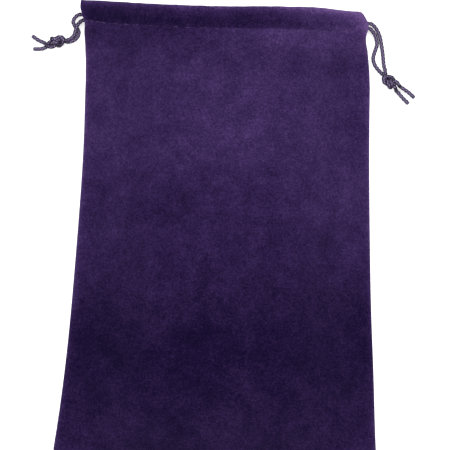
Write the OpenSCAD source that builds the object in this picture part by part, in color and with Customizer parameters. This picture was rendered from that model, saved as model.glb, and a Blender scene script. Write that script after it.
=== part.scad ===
// Velvet drawstring dice bag, lying on its back with its mouth a little open.
// +X is to the bag's right, +Y runs to the mouth and +Z comes up out of the front.
// The origin is the middle of the back panel's flat underside.

/* [Cloth] */
// Width across the mouth
mouth_w = 148; // [140:1:170]
// Width across the bottom
base_w = 162; // [150:1:185]
// Length from the mouth to the bottom seam
bag_len = 231; // [200:1:260]
// How far the bottom sits to the right of the mouth
base_shift = 1.1; // [0:0.1:5]
// How far the cloth just below the hem sits to the right of the mouth
waist_shift = 2.9; // [0:0.1:3]
// Pull-in of each side just below the hem
waist_in = 1.1; // [0:0.1:2]
// Thickness of the velvet
cloth_t = 0.9; // [0.8:0.05:1]
// Radius of the two bottom corners
corner_r = 3.5; // [3:0.5:10]

/* [Loft] */
// Clear height for dice in the middle of the bag
belly_gap = 19; // [17:0.5:22]
// Clear height between the two hems
mouth_gap = 17; // [16.5:0.5:19]
// Length of the rise from the bottom seam
rise_len = 50; // [40:1:60]
// How far the front hem sits back from the back hem
lip_drop = 5; // [3:0.5:7]

/* [Hem] */
// Depth of the hem
hem_d = 12.5; // [12:0.5:13]
// Clear height of the drawcord tunnel
tunnel_h = 2.5; // [2.5:0.05:2.6]
// Length of one stitch
stitch_len = 2.1; // [1.5:0.1:2.4]
// Distance from one stitch to the next
stitch_pitch = 3.1; // [2.8:0.1:4]
// Thickness of the sewing thread
thread_d = 0.5; // [0.4:0.05:0.6]

/* [Drawcords] */
// Diameter of a drawcord
cord_d = 2.05; // [1.8:0.05:2.05]
// Distance of the right drawcord's lane from the hem fold
right_lane_d = 4.4; // [4.2:0.1:4.5]
// Distance of the left drawcord's lane from the hem fold
left_lane_d = 7.3; // [7.2:0.1:7.5]
// Length of a knot
knot_len = 9.4; // [8:0.1:9.4]
// Diameter of a knot
knot_d = 6.8; // [6:0.1:6.8]

/* [Hidden] */

velvet = [0.19, 0.12, 0.31];
velvet_dark = [0.15, 0.10, 0.26];
thread = [0.36, 0.29, 0.46];
cord = [0.33, 0.27, 0.43];

y_mouth = bag_len / 2;
y_base = -bag_len / 2;
cord_r = cord_d / 2;
ply_gap = 0.08;                              // air between two plies that lie together
fold_r = cloth_t + tunnel_h / 2;             // outer radius of a hem fold
casing_t = 2 * fold_r;                       // whole thickness of a hem
hem_gap = 0.2;                               // least air between the two hems
hem_inner_z = casing_t + hem_gap + cloth_t + tunnel_h; // front panel's inner side at the corners
seam_z = cloth_t + ply_gap;                  // front panel's inner side along the seams
crown = 0.4;                                 // share of the half width over which the front is level
tuck_stop = 0.835;                           // hem flap is stitched down up to this share of the half width
flap_stop = 0.885;                           // it is whole up to this share
flap_gone = 0.92;                            // and trimmed away from this share on
flare_power = 3.6;                           // how late the sides flare out towards the bottom
loft_fade = 60;                              // length over which the front rises from hem to belly height
hem_fade = 22;                               // length over which the raised hem comes down to the seams
tuck_len = 1.5;                              // length over which a flap drops to its panel
side_inset = 1.4;                            // seam thread to cloth edge
tube_sides = 10;
exit_x = mouth_w / 2 + cord_r + 0.35;        // swing axis of a cord end, clear of the hem
loop_end_x = exit_x - cord_r - 0.45;         // where the cord inside the hem stops
turn_x = mouth_w / 2 - 1.8;                  // far reach of a cord's turn-round
back_tunnel_z = cloth_t + tunnel_h / 2;
front_exit_z = hem_inner_z - tunnel_h / 2;
end_z = knot_d / 2 + 0.1;                    // height of a knot's axis

// ---- small helpers ----
function clamp01(t) = min(1, max(0, t));
function smooth(t) = let (c = clamp01(t)) c * c * (3 - 2 * c);
function mix(a, b, t) = a + (b - a) * t;
function unit(v) = v / norm(v);

// Smooth curve through the points p, with n steps in each span
function span(p, i, t) =
    let (a = p[max(0, i - 1)], b = p[i], c = p[i + 1], d = p[min(len(p) - 1, i + 2)])
    0.5 * (2 * b + (c - a) * t + (2 * a - 5 * b + 4 * c - d) * t * t
           + (3 * b - a - 3 * c + d) * t * t * t);
function curve(p, n) = concat([for (i = [0 : len(p) - 2], k = [0 : n - 1]) span(p, i, k / n)],
                              [p[len(p) - 1]]);

// ---- the shape of the cloth: d is the distance from the mouth, u runs from -1 to 1 across ----
function corner_in(d) = let (c = max(0, d - (bag_len - corner_r)))
    corner_r - sqrt(max(0, corner_r * corner_r - c * c));
function half_w(d) = mouth_w / 2 + (base_w - mouth_w) / 2 * pow(clamp01(d / bag_len), flare_power)
    - waist_in * smooth(d / 20) * (1 - smooth((d - 50) / 100)) - corner_in(d);
function mid_x(d) = waist_shift * smooth(d / 40) + (base_shift - waist_shift) * pow(d / bag_len, 3);
function cloth_x(u, d) = mid_x(d) + u * half_w(d);
function arch(u) = 1 - smooth((abs(u) - crown) / (1 - crown));
function front_y(u, d) = y_mouth - d - lip_drop * arch(u) * (1 - d / bag_len);
function loft(d) = mix(mouth_gap, belly_gap, smooth((d - hem_d) / loft_fade))
    * (1 - pow(1 - clamp01((bag_len - d) / rise_len), 3));
function hem_rise(u, d) = (hem_inner_z - seam_z) * (1 - smooth((d - hem_d) / hem_fade))
    * (1 - pow(abs(u), 16) * smooth((d - hem_d) / 6));
function inner_z(u, d) = seam_z + loft(d) * arch(u) + hem_rise(u, d);

// ---- tubes ----
// One ring round the point p, square to the direction t
function ring(p, t, r, ref) =
    let (s = unit(cross(t, ref)), w = cross(s, t))
    [for (k = [0 : tube_sides - 1])
        let (a = 360 * k / tube_sides) p + r * (cos(a) * s + sin(a) * w)];

// A tube along path; a round_start begins with a dome centred on the first point
module tube(path, r, ref, round_start = false) {
    n = len(path);
    t0 = unit(path[1] - path[0]);
    dome = round_start ? [for (a = [12 : 26 : 64]) ring(path[0] - t0 * r * cos(a), t0, r * sin(a), ref)] : [];
    body = [for (i = [0 : n - 1])
        ring(path[i], unit(path[min(n - 1, i + 1)] - path[max(0, i - 1)]), r, ref)];
    rings = concat(dome, body);
    m = len(rings);
    s = tube_sides;
    polyhedron(
        points = [for (g = rings, p = g) p],
        faces = concat(
            [[for (k = [0 : s - 1]) k]],
            [for (i = [0 : m - 2], k = [0 : s - 1])
                [i * s + k, (i + 1) * s + k, (i + 1) * s + (k + 1) % s]],
            [for (i = [0 : m - 2], k = [0 : s - 1])
                [i * s + k, (i + 1) * s + (k + 1) % s, i * s + (k + 1) % s]],
            [[for (k = [s - 1 : -1 : 0]) (m - 1) * s + k]]));
}

// ---- cloth ----
// Distances from the mouth at which the cloth gets a row of points, close together near the ends
hem_rows = 5;
panel_rows = 19;
rows_out = concat(
    [for (i = [0 : panel_rows]) let (t = i / panel_rows) mix(bag_len, hem_d, mix(t, smooth(t), 0.6))],
    [for (i = [1 : hem_rows]) mix(hem_d, fold_r, i / hem_rows)]);
columns = [for (i = [-16 : 16]) sin(90 * i / 16)];

// Cross-section of the front panel at u: outside, fold, hem flap, tunnel and inside
function flap_end(u) = mix(hem_d, fold_r + 0.3, clamp01((abs(u) - flap_stop) / (flap_gone - flap_stop)));
function flap_lift(u, d) = (tunnel_h - ply_gap) * smooth((d - (hem_d - tuck_len)) / tuck_len)
    * (1 - clamp01((abs(u) - tuck_stop) / (flap_stop - tuck_stop - 0.01)));
function section(u) =
    let (e = flap_end(u), top = inner_z(u, fold_r) - tunnel_h / 2)
    concat(
        [for (d = rows_out) [d, inner_z(u, d) + cloth_t]],
        [for (a = [60 : -30 : -60]) [fold_r * (1 - cos(a)), top + fold_r * sin(a)]],
        [for (k = [0 : 6]) let (d = mix(fold_r, e, k / 6))
            [d, inner_z(u, d) - tunnel_h - cloth_t + flap_lift(u, d)]],
        [for (k = [6 : -1 : 0]) let (d = mix(fold_r, e, k / 6))
            [d, inner_z(u, d) - tunnel_h + flap_lift(u, d)]],
        [for (a = [-60 : 30 : 60])
            [fold_r - tunnel_h / 2 * cos(a), top + tunnel_h / 2 * sin(a)]],
        [for (i = [len(rows_out) - 1 : -1 : 0]) let (d = rows_out[i]) [d, inner_z(u, d)]]);

module front_panel() {
    rings = [for (u = columns) [for (q = section(u)) [cloth_x(u, q[0]), front_y(u, q[0]), q[1]]]];
    n = len(rings[0]);
    m = len(rings);
    last = (m - 1) * n;
    // The outside and the inside of the section have the same number of points, so each end of
    // the sheet closes with a strip between them
    color(velvet)
    polyhedron(
        points = [for (g = rings, p = g) p],
        faces = concat(
            [for (k = [0 : n / 2 - 2]) [k, n - 2 - k, k + 1]],
            [for (k = [0 : n / 2 - 2]) [k, n - 1 - k, n - 2 - k]],
            [for (i = [0 : m - 2], k = [0 : n - 1])
                [i * n + k, i * n + (k + 1) % n, (i + 1) * n + (k + 1) % n]],
            [for (i = [0 : m - 2], k = [0 : n - 1])
                [i * n + k, (i + 1) * n + (k + 1) % n, (i + 1) * n + k]],
            [for (k = [0 : n / 2 - 2]) [last + k, last + k + 1, last + n - 2 - k]],
            [for (k = [0 : n / 2 - 2]) [last + k, last + n - 2 - k, last + n - 1 - k]]));
}

// Outline of the back panel below its fold
function outline() = concat(
    [for (i = [0 : 24]) let (d = mix(fold_r, bag_len - corner_r, i / 24)) [cloth_x(-1, d), y_mouth - d]],
    [for (a = [15 : 15 : 90]) let (d = bag_len - corner_r * (1 - sin(a))) [cloth_x(-1, d), y_mouth - d]],
    [for (a = [90 : -15 : 15]) let (d = bag_len - corner_r * (1 - sin(a))) [cloth_x(1, d), y_mouth - d]],
    [for (i = [24 : -1 : 0]) let (d = mix(fold_r, bag_len - corner_r, i / 24)) [cloth_x(1, d), y_mouth - d]]);

// Section of the back hem's fold, with y to the mouth and z up
module back_fold_section() {
    difference() {
        translate([y_mouth - fold_r, fold_r]) circle(fold_r, $fn = 48);
        translate([y_mouth - fold_r, fold_r]) circle(tunnel_h / 2, $fn = 48);
        translate([y_mouth - 3 * fold_r, -1]) square([2 * fold_r, casing_t + 2]);
    }
}

// Section of the back hem's flap, which drops to the panel at its stitched end
module back_flap_section() {
    flap_y = y_mouth - hem_d;
    low = cloth_t + ply_gap;
    high = cloth_t + tunnel_h;
    polygon([
        [y_mouth - fold_r, high],
        [y_mouth - fold_r, high + cloth_t],
        [flap_y + tuck_len, high + cloth_t],
        [flap_y, low + cloth_t],
        [flap_y - tuck_len, low + cloth_t],
        [flap_y - tuck_len, low],
        [flap_y, low],
        [flap_y + tuck_len, high]]);
}

module along_x(length) {
    rotate([90, 0, 90]) linear_extrude(length, center = true) children();
}

module back_panel() {
    color(velvet_dark) {
        linear_extrude(cloth_t) polygon(outline());
        along_x(mouth_w) back_fold_section();
        along_x(mouth_w * flap_stop) back_flap_section();
    }
}

// ---- thread ----
// A seam thread down one side, from the bottom corner to the hem
module side_seam(side) {
    top_d = hem_d + 7;
    low_d = bag_len - corner_r - 1;
    color(thread)
    tube([for (i = [0 : 24])
            let (d = mix(top_d, low_d, i / 24))
            [mid_x(d) + side * (half_w(d) - side_inset), y_mouth - d, seam_z]],
         thread_d / 2, [0, 0, 1]);
}

module left_side_seam() {
    side_seam(-1);
}

module right_side_seam() {
    side_seam(1);
}

module bottom_seam() {
    seam_w = 2 * (half_w(bag_len - corner_r) - corner_r);
    color(thread)
    translate([mid_x(bag_len), y_base + side_inset, seam_z])
        rotate([0, 90, 0]) cylinder(h = seam_w, d = thread_d, center = true, $fn = 24);
}

stitch_d = hem_d - 0.4;                      // distance of the stitch row from the mouth
stitch_count = floor(mouth_w * tuck_stop / stitch_pitch / 2);

module front_casing_stitches() {
    color(thread)
    for (i = [-stitch_count : stitch_count]) {
        u = i * stitch_pitch / half_w(stitch_d);
        du = stitch_len / 2 / half_w(stitch_d);
        rise = inner_z(u + du, stitch_d) - inner_z(u - du, stitch_d);
        translate([cloth_x(u, stitch_d), front_y(u, stitch_d), inner_z(u, stitch_d) + cloth_t])
            rotate([0, 90 - atan2(rise, stitch_len), 0])
                cylinder(h = stitch_len, d = thread_d, center = true, $fn = 16);
    }
}

module back_casing_stitches() {
    color(thread)
    for (i = [-stitch_count + 1 : stitch_count - 1])
        translate([i * stitch_pitch, y_mouth - hem_d - tuck_len / 2, 2 * cloth_t + ply_gap])
            rotate([0, 90, 0]) cylinder(h = stitch_len, d = thread_d, center = true, $fn = 16);
}

// A bar of close thread that ties the two hems together at the top of a side seam
module seam_tack(side) {
    tack = [2.8, 1.2, 1];
    color(thread)
    translate([side * (mouth_w / 2 - 3.2), y_mouth - hem_d + tack[1] / 2 + 0.2, casing_t + 0.8])
        cube(tack, center = true);
}

module left_seam_tack() {
    seam_tack(-1);
}

module right_seam_tack() {
    seam_tack(1);
}

// ---- drawcords ----
// The cord inside the hem: along the front, round the far corner and back along the back.
// side is where its two ends come out, and lane its distance from the hem fold.
function front_lane(side, lane, x) =
    let (u = (side * x - mid_x(lane)) / half_w(lane))
    [side * x, front_y(u, lane), inner_z(u, lane) - tunnel_h / 2];
module cord_loop(side, lane) {
    far = mouth_w / 2;
    y_back = y_mouth - lane;
    front = [for (i = [0 : 30]) front_lane(side, lane, mix(loop_end_x, -(far - 5), i / 30))];
    last = front[len(front) - 1];
    turn = curve([
        last,
        [-side * (turn_x - 0.7), mix(last[1], y_back, 0.3), front_exit_z - 0.15],
        [-side * turn_x, mix(last[1], y_back, 0.6), 5.2],
        [-side * (turn_x - 1), y_back, 3.4],
        [-side * (far - 5.5), y_back, back_tunnel_z]], 4);
    path = concat([for (i = [0 : len(front) - 2]) front[i]],
                  turn,
                  [[side * loop_end_x, y_back, back_tunnel_z]]);
    color(cord)
    tube(path, cord_r, [0, 1, 0]);
}

// A strand that starts at the cord exit of one side and runs through the points q,
// which are measured from that exit outwards, down the bag and up from the table
module strand(side, lane, q, round_start = false) {
    start = [side * exit_x, y_mouth - lane, 0];
    color(cord)
    tube(curve([for (p = q) start + [side * p[0], -p[1], p[2]]], 5), cord_r, [0, 0, 1], round_start);
}

// A knot: the cord wound three times round its own core, along the direction a
module knot(at, a) {
    wraps = 3;
    core_r = knot_d / 2 - cord_r;
    step = (knot_len - cord_d) / (wraps - 1);
    color(cord)
    translate(at) rotate([0, 90, a]) {
        cylinder(h = knot_len, r = core_r, center = true, $fn = 48);
        for (k = [0 : wraps - 1])
            translate([0, 0, (k - (wraps - 1) / 2) * step])
                rotate_extrude($fn = 48) translate([core_r, 0]) circle(cord_r, $fn = 24);
    }
}

// The heat-sealed ends of two tails
module tips(side, lane, ends) {
    tip_len = 0.8;
    tip_gap = 0.15;
    color(cord)
    for (e = ends) {
        a = atan2(-(e[1][1] - e[0][1]), side * (e[1][0] - e[0][0]));
        translate([side * (exit_x + e[1][0]), y_mouth - lane - e[1][1], e[1][2]])
            rotate([0, 90, a]) translate([0, 0, tip_gap]) cylinder(h = tip_len, r = cord_r * 0.95, $fn = 24);
    }
}

module left_cord_loop() {
    cord_loop(-1, left_lane_d);
}

module right_cord_loop() {
    cord_loop(1, right_lane_d);
}

left_knot_at = [11.1, 12.4, end_z];
left_upper_tail = [[16.4, 13, 3.2], [18.2, 12.9, 2.2], [20.4, 12, 1.6], [23, 10.6, 1.25]];
left_lower_tail = [[16.4, 15.5, 2.9], [18, 16.3, 2], [20, 16.7, 1.5], [22.6, 16.6, 1.25]];

module left_cord_neck() {
    strand(-1, left_lane_d, [[0, 0, front_exit_z], [1.6, 0.1, 5.9], [3.1, 1.9, 4.9], [3.2, 4.4, 4.1],
        [2.3, 7, 3.7], [2, 9, 3.6], [3.4, 10.9, 3.5], [6, 11.2, end_z]], true);
    strand(-1, left_lane_d, [[0, 0, back_tunnel_z], [0.3, 2.6, 1.6], [0.8, 5.4, 1.3], [1, 7.8, 1.2],
        [0.9, 10.2, 1.2], [2.2, 12.8, 1.5], [5.9, 13.7, 2.8]], true);
}

module left_knot() {
    knot([-exit_x - left_knot_at[0], y_mouth - left_lane_d - left_knot_at[1], end_z], 0);
}

module left_tail_upper() {
    strand(-1, left_lane_d, left_upper_tail);
}

module left_tail_lower() {
    strand(-1, left_lane_d, left_lower_tail);
}

module left_tips() {
    tips(-1, left_lane_d, [for (tail = [left_upper_tail, left_lower_tail]) [tail[2], tail[3]]]);
}

right_knot_at = [10.6, 30.8, end_z];
right_knot_turn = -50;
right_upper_tail = [[15.2, 33.9, 3.2], [17, 34.5, 2.3], [19.3, 35.5, 1.6], [23, 38.4, 1.25]];
right_lower_tail = [[13.2, 36, 3], [14.9, 37.3, 2.2], [17, 38.9, 1.6], [20.1, 41.5, 1.25]];

module right_cord_neck() {
    strand(1, right_lane_d, [[0, 0, front_exit_z], [3.2, 2.6, 5.4], [5.7, 6.9, 3.6], [6.4, 10.8, 2.2],
        [6.8, 16, 1.5], [7.3, 21.6, 2], [8.1, 25.7, end_z]], true);
    strand(1, right_lane_d, [[0, 0, back_tunnel_z], [0.8, 3, 1.6], [2.7, 6.6, 1.3], [3.8, 10.8, 1.2],
        [3.4, 15.2, 1.2], [2.7, 19.8, 1.4], [3.7, 23.7, 2.2], [6.2, 27.2, end_z]], true);
}

module right_knot() {
    knot([exit_x + right_knot_at[0], y_mouth - right_lane_d - right_knot_at[1], end_z], right_knot_turn);
}

module right_tail_upper() {
    strand(1, right_lane_d, right_upper_tail);
}

module right_tail_lower() {
    strand(1, right_lane_d, right_lower_tail);
}

module right_tips() {
    tips(1, right_lane_d, [for (tail = [right_upper_tail, right_lower_tail]) [tail[2], tail[3]]]);
}

back_panel();
front_panel();
left_side_seam();
right_side_seam();
bottom_seam();
front_casing_stitches();
back_casing_stitches();
left_seam_tack();
right_seam_tack();
left_cord_loop();
left_cord_neck();
left_knot();
left_tail_upper();
left_tail_lower();
left_tips();
right_cord_loop();
right_cord_neck();
right_knot();
right_tail_upper();
right_tail_lower();
right_tips();
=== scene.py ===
"""The look of the velvet drawstring dice bag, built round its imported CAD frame.

Lengths in this script are millimetres until a mesh is made; MM turns them into metres.
u runs from -1 at the left edge of the cloth to 1 at the right edge, and d is the distance from the mouth.
"""
import math

import bpy
import numpy as np
from mathutils import Matrix, Vector


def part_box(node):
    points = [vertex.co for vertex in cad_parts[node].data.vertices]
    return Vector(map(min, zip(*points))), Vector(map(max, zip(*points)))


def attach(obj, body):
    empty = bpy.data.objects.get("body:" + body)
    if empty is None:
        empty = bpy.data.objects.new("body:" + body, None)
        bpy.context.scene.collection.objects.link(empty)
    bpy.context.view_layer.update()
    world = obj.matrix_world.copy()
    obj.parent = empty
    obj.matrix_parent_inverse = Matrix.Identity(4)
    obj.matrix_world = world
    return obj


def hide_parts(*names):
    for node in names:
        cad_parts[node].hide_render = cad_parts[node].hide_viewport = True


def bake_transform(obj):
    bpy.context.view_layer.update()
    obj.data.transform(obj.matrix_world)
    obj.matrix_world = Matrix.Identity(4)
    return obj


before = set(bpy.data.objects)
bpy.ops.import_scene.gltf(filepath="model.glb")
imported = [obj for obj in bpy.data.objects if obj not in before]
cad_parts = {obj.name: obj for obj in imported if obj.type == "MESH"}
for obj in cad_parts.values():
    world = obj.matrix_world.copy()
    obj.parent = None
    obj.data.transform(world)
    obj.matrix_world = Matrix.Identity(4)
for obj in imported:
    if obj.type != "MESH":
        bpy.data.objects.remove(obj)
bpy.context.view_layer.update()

MM = 0.001

# ---------------------------------------------------------------- sizes from the frame


def box_mm(node):
    lo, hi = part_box(node)
    return np.array(lo) / MM, np.array(hi) / MM


BACK_LO, BACK_HI = box_mm("back_panel")
Y_MOUTH = BACK_HI[1]
LENGTH = BACK_HI[1] - BACK_LO[1]
CASING_T = BACK_HI[2]                       # the back hem's thickness: two layers with the tunnel between
CLOTH_T = 0.9
FOLD_R = CASING_T / 2                       # outside radius of the fold at the mouth
TUNNEL_H = CASING_T - 2 * CLOTH_T
HEM_D = 12.5                                # how far down the hem's flap reaches
STITCH_D = 12.1
STITCH_PITCH = 3.1
LIP_DROP = 5.0                              # how far the open front lip lies behind the back one
MOUTH_GAP = 17.0                            # room between the panels at the mouth and at the belly
BELLY_GAP = 19.0
RISE_LEN = 50.0                             # length of the slope up from the bottom seam
LOFT_FADE = 60.0                            # the mouth's gap turns into the belly's over this length
CROWN = 0.4                                 # share of the half width that stays flat on top
PLY_GAP = 0.08
SEAM_Z = CLOTH_T + PLY_GAP
HEM_GAP = 0.2
HEM_INNER_Z = CASING_T + HEM_GAP + CLOTH_T + TUNNEL_H
HEM_FADE = 22.0                             # the hem's extra height sinks away over this length
TUCK_STOP, FLAP_STOP, FLAP_GONE = 0.835, 0.885, 0.92      # where along u the flap is loose, short and gone
TUCK = 1.5                                  # the flap's last stretch, sewn down on the panel
SKEW = -0.95                                # how far the mouth's right end lies below its middle
SKEW_FADE = 60.0

# Small departures from the straight pattern, each (height, centre, width) of a bell
LEFT_EDGE_BELLS = ((1.15, 12, 3.2), (-0.45, 4.5, 2.5), (-0.68, 40, 28))
RIGHT_EDGE_BELLS = ((-1.2, 14, 3.2), (0.75, 187, 32))
SLANT, SLANT_D, SLANT_POWER = 4.4, 8.0, 1.6               # the mouth's cut-off right corner
PANEL_WAVE, PANEL_WAVE_FADE = ((1.3, 0.42, 0.3), (-0.12, -0.4, 0.3)), 25
LIP_WAVE, LIP_WAVE_FADE = ((0.92, 0.69, 0.165), (-0.15, 1, 0.06)), 8
STITCH_CLIMB = ((1.1, -74, 9), (1.5, 74, 12))


def edge_lines():
    """The cloth's left and right edge as tables of d and x, read from the back panel's flat underside."""
    co = np.array([v.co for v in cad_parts["back_panel"].data.vertices]) / MM
    underside, middle = 0.01, 60
    flat = co[(co[:, 2] < underside) & (np.abs(co[:, 0]) > middle)]
    lines = []
    for side in (-1, 1):
        p = flat[flat[:, 0] * side > 0]
        p = p[np.argsort(Y_MOUTH - p[:, 1], kind="stable")]
        lines.append((Y_MOUTH - p[:, 1], p[:, 0]))
    return lines


LEFT_EDGE, RIGHT_EDGE = edge_lines()
HALF_MOUTH = RIGHT_EDGE[1][0]


def smooth(t):
    c = np.clip(t, 0, 1)
    return c * c * (3 - 2 * c)


def mix(a, b, t):
    return a + (b - a) * t


def bell(x, centre, width):
    return np.exp(-((x - centre) / width) ** 2)


def bells(x, rows):
    """The sum of several bells, each given as height, centre and width."""
    return sum(height * bell(x, centre, width) for height, centre, width in rows)


def edges_at(d):
    """x of the left and right edge. The cords pull the hem's corners in a little."""
    left = np.interp(d, *LEFT_EDGE) + bells(d, LEFT_EDGE_BELLS)
    right = np.interp(d, *RIGHT_EDGE) + bells(d, RIGHT_EDGE_BELLS)
    return left, right - SLANT * np.clip(1 - d / SLANT_D, 0, 1) ** SLANT_POWER


def cloth_x(u, d):
    left, right = edges_at(d)
    return mix(left, right, (u + 1) / 2)


def cloth_u(x, d):
    left, right = edges_at(d)
    return 2 * (x - left) / (right - left) - 1


def half_width(d):
    left, right = edges_at(d)
    return (right - left) / 2


def arch(u):
    """Share of the full height across the bag: 1 on the crown, 0 at the seams."""
    return 1 - smooth((np.abs(u) - CROWN) / (1 - CROWN))


def loft(d):
    """Room between the panels along the middle of the bag."""
    gap = mix(MOUTH_GAP, BELLY_GAP, smooth((d - HEM_D) / LOFT_FADE))
    return gap * (1 - (1 - np.clip((LENGTH - d) / RISE_LEN, 0, 1)) ** 3)


def hem_rise(u, d):
    """How much higher the front panel lies over the folded hems, except at the top of the seams."""
    along = 1 - smooth((d - HEM_D) / HEM_FADE)
    across = 1 - np.abs(u) ** 16 * smooth((d - HEM_D) / 6)
    return (HEM_INNER_Z - SEAM_Z) * along * across


def skew(u, d):
    """The mouth lies a little crooked, and straightens out down the bag."""
    return SKEW * u * (1 - smooth(d / SKEW_FADE))


def flat_y(u, d):
    """Place along the bag of the back panel's points."""
    return Y_MOUTH - d + skew(u, d)


def front_y(u, d):
    """The same for the front, whose lip lies further back where it stands up, in an uneven line."""
    panel_wave = bells(u, PANEL_WAVE) * np.exp(-d / PANEL_WAVE_FADE)
    lip_wave = bells(u, LIP_WAVE) * np.exp(-d / LIP_WAVE_FADE)
    return flat_y(u, d) - LIP_DROP * arch(u) * (1 - d / LENGTH) + panel_wave + lip_wave


# ---------------------------------------------------------------- small repeatable unevenness


def waves(x, seed, count=7, longest=60.0, shortest=6.0):
    """A smooth uneven line through x: sine waves between two lengths, from about -1 to 1."""
    rng = np.random.default_rng(seed)
    total = np.zeros_like(np.asarray(x, float))
    lengths = np.geomspace(longest, shortest, count)
    for length in lengths:
        total = total + math.sqrt(length / longest) * np.sin(2 * math.pi * (x / length + rng.random()))
    return total / math.sqrt(count)


# ---------------------------------------------------------------- cloth simulation of the front


SOFT_GRID = (61, 81)        # points across and along the simulated sheet
SOFT_START = HEM_D + 2
SOFT_STEPS = 20
SOFT_CAP = 3.0              # the settled cloth may move this far at most


def simulated(points, pinned):
    """The points (a grid of rows, mm) as a light sheet of cloth that has settled under a little pressure."""
    rows_n, cols_n = points.shape[:2]
    faces = [(i * cols_n + j, (i + 1) * cols_n + j, (i + 1) * cols_n + j + 1, i * cols_n + j + 1)
             for i in range(rows_n - 1) for j in range(cols_n - 1)]
    mesh = bpy.data.meshes.new("drape")
    mesh.from_pydata((points.reshape(-1, 3) * MM).tolist(), [], faces)
    drape = bpy.data.objects.new("drape", mesh)
    scene = bpy.context.scene
    scene.collection.objects.link(drape)
    pins = drape.vertex_groups.new(name="pins")
    pins.add([int(i) for i in np.flatnonzero(pinned.reshape(-1))], 1.0, "REPLACE")
    cloth = drape.modifiers.new("cloth", "CLOTH")
    cloth.settings.quality = 8
    cloth.settings.mass = 0.1
    cloth.settings.tension_stiffness = 12
    cloth.settings.compression_stiffness = 12
    cloth.settings.bending_stiffness = 0.6
    cloth.settings.vertex_group_mass = "pins"
    cloth.settings.shrink_min = -0.012
    cloth.settings.use_pressure = True
    cloth.settings.uniform_pressure_force = 0.6
    cloth.settings.effector_weights.gravity = 0
    cloth.collision_settings.use_collision = False
    for step in range(1, SOFT_STEPS + 1):
        scene.frame_set(step)
    settled = drape.evaluated_get(bpy.context.evaluated_depsgraph_get())
    co = np.empty(points.size)
    settled.data.vertices.foreach_get("co", co)
    scene.frame_set(1)
    bpy.data.objects.remove(drape)
    bpy.data.meshes.remove(mesh)
    return co.reshape(points.shape) / MM


def soft_field():
    """How far a settled cloth lies off the plain arch of the front, as a grid over u and d."""
    us = np.linspace(-1, 1, SOFT_GRID[0])
    ds = np.linspace(SOFT_START, LENGTH, SOFT_GRID[1])
    uu, dd = np.meshgrid(us, ds, indexing="ij")
    x, y, z = cloth_x(uu, dd), front_y(uu, dd), inner_z(uu, dd)
    z = z + 0.5 * waves(x + 0.6 * y, 3, 6, 70, 14) * waves(y - 0.5 * x, 4, 6, 80, 18)
    pinned = (np.abs(uu) > 0.97) | (dd < HEM_D + 6) | (dd > LENGTH - 4)
    lift = simulated(np.stack([x, y, z], -1), pinned)[:, :, 2] - inner_z(uu, dd)
    return us, ds, SOFT_CAP * np.tanh(lift / SOFT_CAP)


def inner_z(u, d):
    """Height of the front panel's inner side."""
    return SEAM_Z + loft(d) * arch(u) + hem_rise(u, d)


SOFT_U, SOFT_D, SOFT_LIFT = soft_field()


def soft_lift(u, d):
    """The simulated lift at u and d, faded out at the seams and under the hem."""
    iu = np.clip((u + 1) / 2 * (len(SOFT_U) - 1), 0, len(SOFT_U) - 1.001)
    jd = np.clip((d - SOFT_D[0]) / (SOFT_D[-1] - SOFT_D[0]) * (len(SOFT_D) - 1), 0, len(SOFT_D) - 1.001)
    i, j = iu.astype(int), jd.astype(int)
    a, b = iu - i, jd - j
    lift = (SOFT_LIFT[i, j] * (1 - a) * (1 - b) + SOFT_LIFT[i + 1, j] * a * (1 - b)
            + SOFT_LIFT[i, j + 1] * (1 - a) * b + SOFT_LIFT[i + 1, j + 1] * a * b)
    fade = smooth((d - SOFT_START) / 10) * smooth((1 - np.abs(u)) / 0.05) * smooth((LENGTH - d) / 6)
    return lift * fade


# ---------------------------------------------------------------- cloth panels

EDGE_STEPS = np.array([0, 0.1, 0.25, 0.45, 0.7, 1.0, 1.4, 2.0, 2.8])
CLOTH_STEP = 1.3
EDGE_ROUND = 1.1


def columns():
    """Values of u from the middle to the side edge, close together at the edge."""
    half = half_width(LENGTH / 2)
    middle = np.arange(0, half - EDGE_STEPS[-1] - CLOTH_STEP * 0.6, CLOTH_STEP)
    return np.concatenate([middle, half - EDGE_STEPS[::-1]]) / half


def rows():
    """Values of d from the bottom seam to the fold, close together at the seam and over the hem."""
    low = LENGTH - EDGE_STEPS
    middle = np.arange(LENGTH - EDGE_STEPS[-1] - CLOTH_STEP, HEM_D + 8, -CLOTH_STEP)
    hem = np.linspace(middle[-1] - 0.6, FOLD_R, 34)
    return np.concatenate([low, middle, hem])


def edge_thickness(u, d):
    """Cloth thickness, which rounds off to nothing at a sewn edge."""
    open_end = np.where(d < HEM_D, 5.0, 0.0) * (1 - smooth((d - HEM_D + 3) / 3))
    side = (1 - np.abs(u)) * half_width(d) + open_end
    e = np.minimum(side, LENGTH - d)
    k = 1 - np.clip(e / EDGE_ROUND, 0, 1)
    return np.maximum(CLOTH_T * np.sqrt(1 - k * k), 0.04)


def stitch_d(x):
    """The seam keeps its distance from the fold, and climbs a little towards both ends."""
    return STITCH_D - bells(x, STITCH_CLIMB)


def hem_detail(x, d, seed):
    """Height of the small puckers over the hem and the groove along its stitches."""
    pucker = 0.34 * waves(x, seed, 5, 13, 5) * smooth(d / 3) * (1 - smooth((d - HEM_D) / 14))
    groove = -0.5 * bell(d, stitch_d(x), 0.8)
    dimple = -0.12 * np.cos(2 * math.pi * x / STITCH_PITCH) * bell(d, stitch_d(x), 0.9)
    roll = 0.25 * bell(d, 7.0, 3.0)
    return pucker + groove + dimple + roll


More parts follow.
